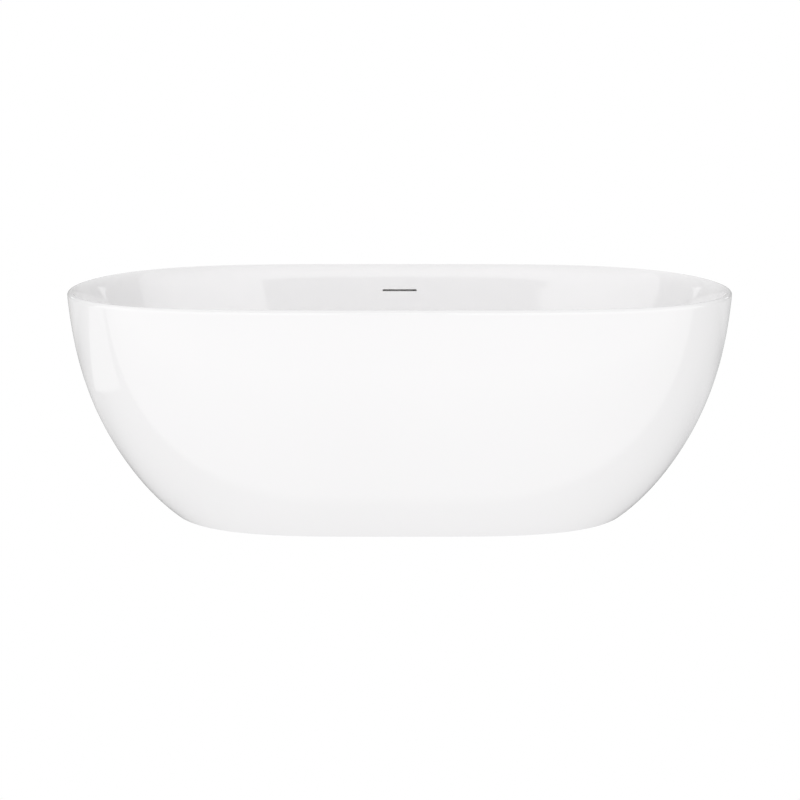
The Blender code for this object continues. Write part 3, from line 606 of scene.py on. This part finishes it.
def ring_section(inner, outer, bottom, top):
    return [(inner, bottom), (outer, bottom), (outer, top), (inner, top)]


def turned(name, points, radius, at=(0.0, 0.0), closed=True, sides=96):
    """A piece turned about an upright axis, with its corners eased."""
    shift = Vector((*at, 0.0))
    rings = [[p + shift for p in circle(spot.x, spot.y, sides)] for spot in rounded(points, radius, closed)]
    return skin(name, rings, closed=closed, sharp=50)


def hex_ring(corner_radius, limit, z, sides=48):
    """A hexagon with its corners turned down to a circle, as the chamfer of a nut does."""
    flat = corner_radius * math.cos(math.pi / 6)
    ring = []
    for i in range(sides):
        angle = math.tau * i / sides
        off = (angle % (math.pi / 3)) - math.pi / 6
        r = min(flat / math.cos(off), limit)
        ring.append(Vector((r * math.cos(angle), r * math.sin(angle), z)))
    return ring


def chamfered_hex(corner_radius, bottom, top, chamfer):
    """Rings up the outside of a nut, whose corners are turned down at both ends."""
    flat = corner_radius * math.cos(math.pi / 6)
    rings = []
    for k in range(5):
        t = k / 4
        rings.append(hex_ring(corner_radius, mix(flat * 0.97, corner_radius, t), bottom + chamfer * t))
    for k in range(5):
        t = k / 4
        rings.append(hex_ring(corner_radius, mix(corner_radius, flat * 0.97, t), top - chamfer * (1 - t)))
    return rings


def thread_rings(outer, depth, pitch, bottom, top, sides=24, per_turn=8):
    """Rings up a right-hand screw thread, which runs out at both ends."""
    count = int((top - bottom) / pitch * per_turn)
    rings = []
    for k in range(count + 1):
        z = mix(bottom, top, k / count)
        run_out = min(1.0, (z - bottom) / pitch, (top - z) / pitch)
        ring = []
        for i in range(sides):
            phase = (z / pitch - i / sides) % 1.0
            groove = min(1.0, max(0.0, 1.3 * abs(2 * phase - 1) - 0.15))
            r = outer - depth * mix(1.0, groove, run_out)
            angle = math.tau * i / sides
            ring.append(Vector((r * math.cos(angle), r * math.sin(angle), z)))
        rings.append(ring)
    return rings


def moved(rings, at):
    shift = Vector((*at, 0.0))
    return [[point + shift for point in ring] for ring in rings]


def build_waste():
    flange_z = DRAIN_Z - RECESS_DEPTH + 2 * GAP + 0.001
    flange = [
        (0.022, 0.098),
        (0.022, 0.1265),
        (0.0270, 0.1300),
        (0.0335, 0.1312),
        (0.0355, 0.1303),
        (0.0355, flange_z),
        (0.0252, flange_z),
        (0.0252, 0.098),
    ]
    stand_for(turned("flange_turned", flange, 0.0012, sides=160), "waste_flange")
    radii = (0.0003, 0.003, 0.007, 0.011, 0.015, 0.019, 0.023, 0.0265)
    dome = [(r, 0.1371 - 0.0034 * (r / 0.028) ** 2.2) for r in radii]
    cap = dome + [(0.0290, 0.1330), (0.0300, 0.1324), (0.0300, 0.1318), (0.0003, 0.1318)]
    stand_for(turned("stopper_cap_turned", cap, 0.0016, closed=False, sides=160), "stopper_cap")
    seal = [(0.0055, 0.1285), (0.0235, 0.1285), (0.0258, 0.1300), (0.0258, 0.1315), (0.0055, 0.1315)]
    stand_for(turned("stopper_seal_turned", seal, 0.0008), "stopper_seal")
    washer_z = DRAIN_Z - RECESS_DEPTH + GAP
    washer = ring_section(0.0270, 0.0355, washer_z, washer_z + 0.001)
    stand_for(turned("flange_seal_turned", washer, 0.0003), "flange_seal")
    gasket_top = FLOOR_UNDERSIDE_Z - GAP
    gasket = ring_section(0.0262, 0.0345, gasket_top - GASKET_THICKNESS, gasket_top)
    stand_for(turned("shoe_gasket_turned", gasket, 0.0008), "shoe_gasket")
    pipe = ring_section(0.017, 0.019, 0.004, 0.0395)
    stand_for(turned("tailpiece_turned", pipe, 0.0006), "tailpiece")
    build_shoe(gasket_top - GASKET_THICKNESS - GAP)
    build_slip_nut()


def lying_cylinder(name, radius, start_y, end_y, z, sides=48):
    """A bar along Y."""
    rings = [[Vector((p.x, y, z + p.y)) for p in circle(radius, 0.0, sides)] for y in (start_y, end_y)]
    return skin(name, rings, sharp=50)


def build_shoe(top_z):
    profile = [
        (0.0256, top_z),
        (0.0256, 0.060),
        (0.017, 0.056),
        (0.017, 0.040),
        (0.020, 0.040),
        (0.020, 0.053),
        (0.031, 0.058),
        (0.031, top_z - 0.004),
        (0.036, top_z - 0.004),
        (0.036, top_z),
    ]
    shoe = turned("shoe_turned", profile, 0.0010)
    combine(shoe, lying_cylinder("shoe_nipple_tool", 0.0068, 0.0283, 0.055, HOSE_Z), "UNION")
    cut(shoe, lying_cylinder("shoe_bore_tool", 0.0053, 0.010, 0.065, HOSE_Z))
    stand_for(shoe, "drain_shoe")


def build_slip_nut():
    """An eight-sided nut, plated, with its corners and its two ends eased."""
    inner, outer, bottom, top = 0.0206, 0.0265, 0.034, 0.052
    heights = [bottom, bottom + 0.0005, bottom + 0.0015, mix(bottom, top, 0.5)]
    heights += [top - 0.0015, top - 0.0005, top]
    eases = [0.0016, 0.0006, 0.0, 0.0, 0.0, 0.0006, 0.0016]
    shell = []
    flat = outer * math.cos(math.pi / 8)
    for z, ease in zip(heights, eases):
        ring = []
        for i in range(96):
            angle = math.tau * i / 96
            off = (angle % (math.pi / 4)) - math.pi / 8
            r = min(flat / math.cos(off), outer - 0.0004) - ease
            ring.append(Vector((r * math.cos(angle), r * math.sin(angle), z)))
        shell.append(ring)
    bore = [circle(inner, z, 96) for z in (top, bottom)]
    stand_for(skin("slip_nut_turned", shell + bore, closed=True, sharp=50), "slip_nut")


def build_fasteners():
    for front, side in (("front", -1), ("rear", 1)):
        for end, way in (("left", -1), ("right", 1)):
            corner = f"{front}_{end}"
            foot = (way * FOOT_X, side * FOOT_Y)
            build_foot(corner, foot)
            low_nut = FOOT_BAR_BOTTOM_Z - GAP - NUT_HEIGHT
            for kind, bottom in (("weld_nut", low_nut), ("lock_nut", FOOT_BAR_TOP_Z + GAP)):
                shell = chamfered_hex(NUT_CORNER_RADIUS, bottom, bottom + NUT_HEIGHT, 0.0012)
                bore = [circle(NUT_BORE_RADIUS, z, 48) for z in (bottom + NUT_HEIGHT, bottom)]
                nut = skin(f"{kind}_cut_{corner}", moved(shell + bore, foot), closed=True, sharp=35)
                stand_for(nut, f"{kind}_{corner}")
            build_bolt(corner, (way * FOOT_X, side * RAIL_Y))


def build_foot(corner, at):
    """The ribbed rubber pad, and the stud with its right-hand thread."""
    pad = [(0.0035, 0.0), (0.0250, 0.0), (0.0250, 0.0040)]
    pad += [(0.0205, 0.0052), (0.0200, 0.0046), (0.0160, 0.0058), (0.0155, 0.0053)]
    pad += [(0.0110, 0.0080), (0.0095, 0.0125), (0.0054, 0.0125), (0.0054, 0.0050), (0.0035, 0.0050)]
    stand_for(turned(f"pad_{corner}", pad, 0.0009, at, closed=False), f"foot_pad_{corner}")
    start = [circle(0.0040, 0.0053, 24), circle(0.0048, 0.0058, 24), circle(0.0048, 0.0130, 24)]
    thread = thread_rings(0.0060, 0.0010, THREAD_PITCH, 0.0140, 0.1035)
    point = [circle(0.0043, 0.1050, 24)]
    stud = skin(f"stud_{corner}", moved(start + thread + point, at), sharp=60)
    stand_for(stud, f"foot_stud_{corner}")


def build_bolt(corner, at):
    head_top = FOOT_BAR_BOTTOM_Z - GAP
    head = chamfered_hex(0.0075, head_top - 0.005, head_top, 0.0009)
    shank_z = head_top + BOLT_SHANK
    shank = [circle(0.0040, head_top, 48), circle(0.0040, shank_z, 48)]
    end_z = RAIL_BOTTOM_Z + TUBE / 2
    thread = thread_rings(0.0040, 0.0006, BOLT_PITCH, shank_z, end_z - 0.0006, sides=48, per_turn=6)
    rings = head + shank + thread + [circle(0.0032, end_z, 48)]
    stand_for(skin(f"bolt_{corner}", moved(rings, at), sharp=35), f"frame_bolt_{corner}")


# ---------------------------------------------------------------- frame, board and hose
def tube_outline(half, radius, steps=5):
    """A square with round corners."""
    points = []
    for k, (u, v) in enumerate(((1, 1), (-1, 1), (-1, -1), (1, -1))):
        for i in range(steps + 1):
            angle = math.pi / 2 * (k + i / steps)
            x = u * (half - radius) + radius * math.cos(angle)
            points.append((x, v * (half - radius) + radius * math.sin(angle)))
    return points


def square_tube(name, centre, half_length, axis, holes):
    """A square tube along X or Y, with upright holes given as (x, y, radius, bottom, top)."""
    outer = tube_outline(TUBE / 2, 0.0030)
    inner = tube_outline(TUBE / 2 - TUBE_WALL, 0.0012)
    rings = []
    for outline, end in ((outer, -1), (outer, 1), (inner, 1), (inner, -1)):
        along = end * half_length
        flat = [(along, u, v) if axis == "X" else (u, along, v) for u, v in outline]
        rings.append([Vector(centre) + Vector(point) for point in flat])
    tube = skin(name + "_drawn", rings, closed=True, sharp=35)
    for i, (x, y, radius, bottom, top) in enumerate(holes):
        tool = skin(f"{name}_hole_tool_{i}", moved([circle(radius, z, 32) for z in (bottom, top)], (x, y)))
        cut(tube, tool, sharp=35)
    stand_for(tube, name)


def build_frame():
    rail_z = RAIL_BOTTOM_Z + TUBE / 2
    bar_z = FOOT_BAR_BOTTOM_Z + TUBE / 2
    for word, side in (("front", -1), ("rear", 1)):
        y = side * RAIL_Y
        span = (RAIL_BOTTOM_Z - 0.01, RAIL_BOTTOM_Z + 0.01)  # through the lower wall only
        holes = [(end * FOOT_X, y, BOLT_HOLE_RADIUS, *span) for end in (-1, 1)]
        square_tube(f"{word}_rail", (0, y, rail_z), RAIL_HALF_LENGTH, "X", holes)
    for word, side in (("left", -1), ("right", 1)):
        x = side * (RAIL_HALF_LENGTH - TUBE / 2)
        square_tube(f"{word}_end_bar", (x, 0, rail_z), RAIL_Y - TUBE / 2 - GAP, "Y", ())
        x = side * FOOT_X
        span = (FOOT_BAR_BOTTOM_Z - 0.01, FOOT_BAR_TOP_Z + 0.01)
        holes = [(x, y, STUD_HOLE_RADIUS, *span) for y in (-FOOT_Y, FOOT_Y)]
        holes += [(x, y, BOLT_HOLE_RADIUS, *span) for y in (-RAIL_Y, RAIL_Y)]
        square_tube(f"{word}_foot_bar", (x, 0, bar_z), FOOT_BAR_HALF_LENGTH, "Y", holes)


def build_board():
    eased = ((0.0, 0.0008), (0.0002, 0.0002), (0.0008, 0.0))
    rings = [outline_ring(BOARD_OUTLINE, BOARD_BOTTOM_Z + up, inset) for up, inset in eased]
    rings += [outline_ring(BOARD_OUTLINE, BOARD_TOP_Z - up, inset) for up, inset in reversed(eased)]
    board = skin("board_sawn", rings, sharp=50)
    cut(board, skin("board_hole_tool", [circle(BOARD_HOLE_RADIUS, z, 96) for z in BOARD_CUT_Z]))
    stand_for(board, "base_board")


def hose_path():
    """Points on a smooth curve through the same stations as the CAD model's hose."""
    drop = [(0.379, 0.426), (0.379, 0.406), (0.379, 0.386), (0.373, 0.345), (0.356, 0.280), (0.337, 0.210)]
    run = [(0.308, 0.145), (0.262, 0.098), (0.200, 0.077), (0.130, HOSE_Z), (0.075, HOSE_Z), (0.035, HOSE_Z)]
    stations = [Vector((0, y, z)) for y, z in drop + run]
    points = [stations[0] * 2 - stations[1]] + stations + [stations[-1] * 2 - stations[-2]]
    path = []
    for k in range(HOSE_STEPS + 1):
        along = k * (len(stations) - 1) / HOSE_STEPS
        i = min(int(along), len(stations) - 2)
        t = along - i
        a, b, c, d = points[i : i + 4]
        bend = (a * 2 - b * 5 + c * 4 - d) * t**2 + (b * 3 - a - c * 3 + d) * t**3
        path.append((b * 2 + (c - a) * t + bend) / 2)
    return path


def hose_ring(centre, across, radius):
    spots = circle(1.0, 0.0, HOSE_SIDES)
    return [centre + Vector((s.x * radius, 0, 0)) + across * (s.y * radius) for s in spots]


def build_hose():
    """The corrugated hose, with plain cuffs under its clips."""
    path = hose_path()
    travelled = [0.0]
    for before, after in zip(path, path[1:]):
        travelled.append(travelled[-1] + (after - before).length)
    outside, inside = [], []
    for i, point in enumerate(path):
        along = (path[min(i + 1, len(path) - 1)] - path[max(i - 1, 0)]).normalized()
        across = along.cross(Vector((1, 0, 0)))
        cuff = min(travelled[i], travelled[-1] - travelled[i])
        waist = RIB_DEPTH * min(1.0, max(0.0, (cuff - CUFF_LENGTH) / CUFF_BLEND))
        wave = 0.5 - 0.5 * math.cos(math.tau * travelled[i] / RIB_PITCH)
        outside.append(hose_ring(point, across, HOSE_RADIUS - waist * wave))
        if i % 12 == 0 or i == len(path) - 1:
            inside.append(hose_ring(point, across, HOSE_BORE))
    hose = skin("hose_corrugated", outside + list(reversed(inside)), closed=True, sharp=60)
    stand_for(hose, "overflow_hose")


def ease_edges(piece, width):
    """Rounds the sharp edges of a CAD node as it is drawn, and leaves its mesh as it is."""
    weld = piece.modifiers.new("weld", "WELD")
    weld.merge_threshold = 0.00002
    bevel = piece.modifiers.new("ease", "BEVEL")
    bevel.width = width
    bevel.segments = 3
    bevel.limit_method = "ANGLE"
    bevel.angle_limit = math.radians(40)


build_waste()
build_fasteners()
build_frame()
build_board()
build_hose()

for node, piece in nodes.items():
    if not piece.hide_render:
        piece.data.materials.clear()
        piece.data.materials.append(FINISHES[SLOT_OF[node]])
        ease_edges(piece, EASES.get(node, DEFAULT_EASE))


# ---------------------------------------------------------------- studio
# Two things light the tub: a soft glow from all round for its colour, and the bright and dark shapes
# that its polished skin mirrors. Both are radiances. The camera itself sees plain white.
GLOW = {
    "all_round": 0.95,
    "front": 1.15,
    "right": 0.66,
    "overhead": 1.03,
    "floor": 0.99,
    # the floor's glow round and under the tub, lowered as painted shade of the tub
    "shaded_floor_round_tub": 0.94,
}
SKY = {"front": 2.45, "overhead": 0.1, "front_left": 1.6, "front_right": 1.5, "screen": 0.95}
BEHIND = {"beside": 0.12, "straight": 0.4, "overhead": 0.6, "lamp": 1.5}
# near and painted_shadow_under_tub are the floor's mirrored level beside and under the tub, kept low as
# painted shadow of the tub, which the skirt mirrors near its foot
FLOOR = {
    "line": 0.98,
    "far": 1.65,
    "near": 0.25,
    "painted_shadow_under_tub": 0.45,
    "behind": 0.5,
    "wide_behind": 0.28,
    "far_behind": 0.5,
    "strip": 0.85,
}
SCREEN = {"right": 3.5, "left": 4.15, "upper_left": 6.3, "top": 13.6}  # degrees
LAMP = {"aside": 136.0, "foot": 1.5, "spread": 6.0, "low": 9.0, "high": 14.5}  # degrees
SEAM = {"aside": 22.0, "half_width": 1.2, "level": 0.35}  # degrees, and how much brighter it is
SWEEP_START = 0.40  # the bright floor starts about this far in front of the tub's middle,
SWEEP_SPLAY = 0.14  # this much further for each metre to the side,
SWEEP_LEAST = 0.44  # and no nearer than this
STRIP_START = 1.55  # a strip of light lies on the floor, this far to the left
STAGE_HALF = 9.0
STAGE_Z = -0.0004
LENS = 38.06  # millimetres
CAMERA_PLACE = (0.001, -2.225, 0.9167)
CAMERA_DIP = 0.2872  # radians below the horizon


def by_ray(tree, glow, mirrored):
    """White for the camera, the mirrored level for reflections, and the glow for the rest."""
    path = add(tree, "ShaderNodeLightPath")
    lit = choose(tree, path.outputs["Is Glossy Ray"], glow, mirrored)
    return choose(tree, path.outputs["Is Camera Ray"], lit, 1.0)


def choose(tree, share, first, second):
    return add(tree, "ShaderNodeMix", {0: share, 2: first, 3: second}, data_type="FLOAT").outputs[0]


def step_up(tree, value, edge, softness):
    return remap(tree, value, edge - softness, edge + softness, 0.0, 1.0)


def mirrored_front(tree, azimuth, elevation):
    """The bright wall behind the camera, dimmer at its ends and overhead, with a low dark screen."""
    left = remap(tree, azimuth, -90, -30, SKY["front_left"], SKY["front"])
    right = remap(tree, azimuth, 55, 90, SKY["front"], SKY["front_right"])
    wall = calc(tree, "MINIMUM", left, right)
    wall = calc(tree, "MINIMUM", wall, remap(tree, elevation, 20, 60, SKY["front"], SKY["overhead"]))
    off_seam = calc(tree, "ABSOLUTE", calc(tree, "SUBTRACT", calc(tree, "ABSOLUTE", azimuth), SEAM["aside"]))
    wall = calc(tree, "ADD", wall, remap(tree, off_seam, 0.0, SEAM["half_width"], SEAM["level"], 0.0))
    left_edge = remap(tree, elevation, 11.95, 12.7, SCREEN["left"], SCREEN["upper_left"])
    past_left = step_up(tree, calc(tree, "ADD", azimuth, left_edge), 0.0, 0.3)
    past_right = step_up(tree, azimuth, SCREEN["right"], 0.3)
    outside = calc(tree, "MAXIMUM", calc(tree, "SUBTRACT", 1.0, past_left), past_right)
    outside = calc(tree, "MAXIMUM", outside, step_up(tree, elevation, SCREEN["top"], 0.3))
    return choose(tree, outside, SKY["screen"], wall)


def mirrored_behind(tree, aside, elevation):
    """The dim room behind the tub, with a small lamp on each side that narrows to its foot."""
    off_lamp = calc(tree, "ABSOLUTE", calc(tree, "SUBTRACT", aside, LAMP["aside"]))
    reach_here = remap(tree, elevation, LAMP["low"], LAMP["high"], LAMP["foot"], LAMP["spread"])
    past_side = step_up(tree, calc(tree, "SUBTRACT", off_lamp, reach_here), 0.0, 0.6)
    past_top = step_up(tree, elevation, LAMP["high"], 0.6)
    beside = calc(tree, "SUBTRACT", 1.0, past_side)
    lamp = calc(tree, "MULTIPLY", beside, calc(tree, "SUBTRACT", 1.0, past_top))
    lamp = calc(tree, "MULTIPLY", lamp, step_up(tree, elevation, LAMP["low"], 0.6))
    room = remap(tree, aside, 142, 160, BEHIND["beside"], BEHIND["straight"])
    behind = choose(tree, lamp, room, BEHIND["lamp"])
    return choose(tree, remap(tree, elevation, 15, 50, 0.0, 1.0), behind, BEHIND["overhead"])


def sky_levels(tree):
    """The glow and the mirrored level of the sky. The azimuth is 0 towards the camera and + to the right."""
    direction = add(tree, "ShaderNodeTexCoord").outputs["Generated"]
    axes = add(tree, "ShaderNodeSeparateXYZ", {0: direction}).outputs
    ahead = calc(tree, "MULTIPLY", axes[1], -1.0)
    azimuth = calc(tree, "DEGREES", calc(tree, "ARCTAN2", axes[0], ahead))
    elevation = calc(tree, "DEGREES", calc(tree, "ARCSINE", axes[2]))
    glow = remap(tree, ahead, 0.0, 1.0, GLOW["all_round"], GLOW["front"])
    glow = choose(tree, remap(tree, axes[0], 0.3, 1.0, 0.0, 1.0), glow, GLOW["right"])
    glow = choose(tree, remap(tree, axes[2], 0.3, 0.95, 0.0, 1.0), glow, GLOW["overhead"])
    front = mirrored_front(tree, azimuth, elevation)
    behind = mirrored_behind(tree, calc(tree, "ABSOLUTE", azimuth), elevation)
    mirrored = choose(tree, remap(tree, ahead, -0.01, 0.01, 0.0, 1.0), behind, front)
    return glow, mirrored


def build_world():
    world = bpy.data.worlds.new("studio")
    bpy.context.scene.world = world
    world.use_nodes = True
    tree = world.node_tree
    tree.nodes.clear()
    level = by_ray(tree, *sky_levels(tree))
    sky = add(tree, "ShaderNodeBackground", {0: (1.0, 1.0, 1.0, 1.0), 1: level})
    add(tree, "ShaderNodeOutputWorld", {0: sky.outputs[0]})


def floor_levels(tree):
    """The glow and the mirrored level of the floor, which brightens in front of the tub. Round and under the
    tub both levels are lower: painted shadow of the tub on the floor.
    """
    spot = add(tree, "ShaderNodeSeparateXYZ", {0: add(tree, "ShaderNodeTexCoord").outputs["Object"]}).outputs
    aside = calc(tree, "ABSOLUTE", spot[0])
    splayed = calc(tree, "ADD", calc(tree, "MULTIPLY", aside, SWEEP_SPLAY), SWEEP_START)
    inward = calc(tree, "ADD", spot[1], calc(tree, "MAXIMUM", splayed, SWEEP_LEAST))
    # near is 1 round, under and behind the tub, where both levels are lower: painted shadow of the tub on the
    # floor
    near = step_up(tree, inward, 0.0, 0.02)
    glow = choose(tree, near, GLOW["floor"], GLOW["shaded_floor_round_tub"])
    under = remap(tree, aside, 0.40, 0.60, FLOOR["painted_shadow_under_tub"], FLOOR["near"])
    behind = remap(tree, aside, 1.4, 2.0, FLOOR["behind"], FLOOR["wide_behind"])
    under = choose(tree, remap(tree, spot[1], 0.0, 0.3, 0.0, 1.0), under, behind)
    under = choose(tree, remap(tree, spot[1], 1.05, 1.4, 0.0, 1.0), under, FLOOR["far_behind"])
    to_left = remap(tree, spot[0], -STRIP_START, 0.05 - STRIP_START, 1.0, 0.0)
    strip = calc(tree, "MULTIPLY", to_left, remap(tree, inward, 0.13, 0.16, 0.0, 1.0))
    strip = calc(tree, "MULTIPLY", strip, remap(tree, spot[1], 0.24, 0.26, 1.0, 0.0))
    dark = choose(tree, strip, under, FLOOR["strip"])
    sweep = remap(tree, inward, -1.1, 0.0, FLOOR["far"], FLOOR["line"])
    return glow, choose(tree, near, sweep, dark)


def build_stage():
    mesh = bpy.data.meshes.new("studio_floor")
    shape = bmesh.new()
    ways = ((-1, -1), (1, -1), (1, 1), (-1, 1))
    shape.faces.new([shape.verts.new((u * STAGE_HALF, v * STAGE_HALF, STAGE_Z)) for u, v in ways])
    shape.to_mesh(mesh)
    shape.free()
    floor = link(mesh, "studio_floor")
    material = bpy.data.materials.new("pale_floor")
    material.use_nodes = True
    tree = material.node_tree
    tree.nodes.clear()
    level = by_ray(tree, *floor_levels(tree))
    lit = add(tree, "ShaderNodeEmission", {0: (1.0, 1.0, 1.0, 1.0), 1: level})
    add(tree, "ShaderNodeOutputMaterial", {0: lit.outputs[0]})
    mesh.materials.append(material)


build_world()
build_stage()

camera_data = bpy.data.cameras.new("camera")
camera_data.lens = LENS
camera_data.sensor_width = 36.0
camera = bpy.data.objects.new("camera", camera_data)
camera.location = CAMERA_PLACE
camera.rotation_euler = (math.pi / 2 - CAMERA_DIP, 0.0, 0.0)
bpy.context.scene.collection.objects.link(camera)
bpy.context.scene.camera = camera
bpy.context.scene.view_settings.view_transform = "Standard"

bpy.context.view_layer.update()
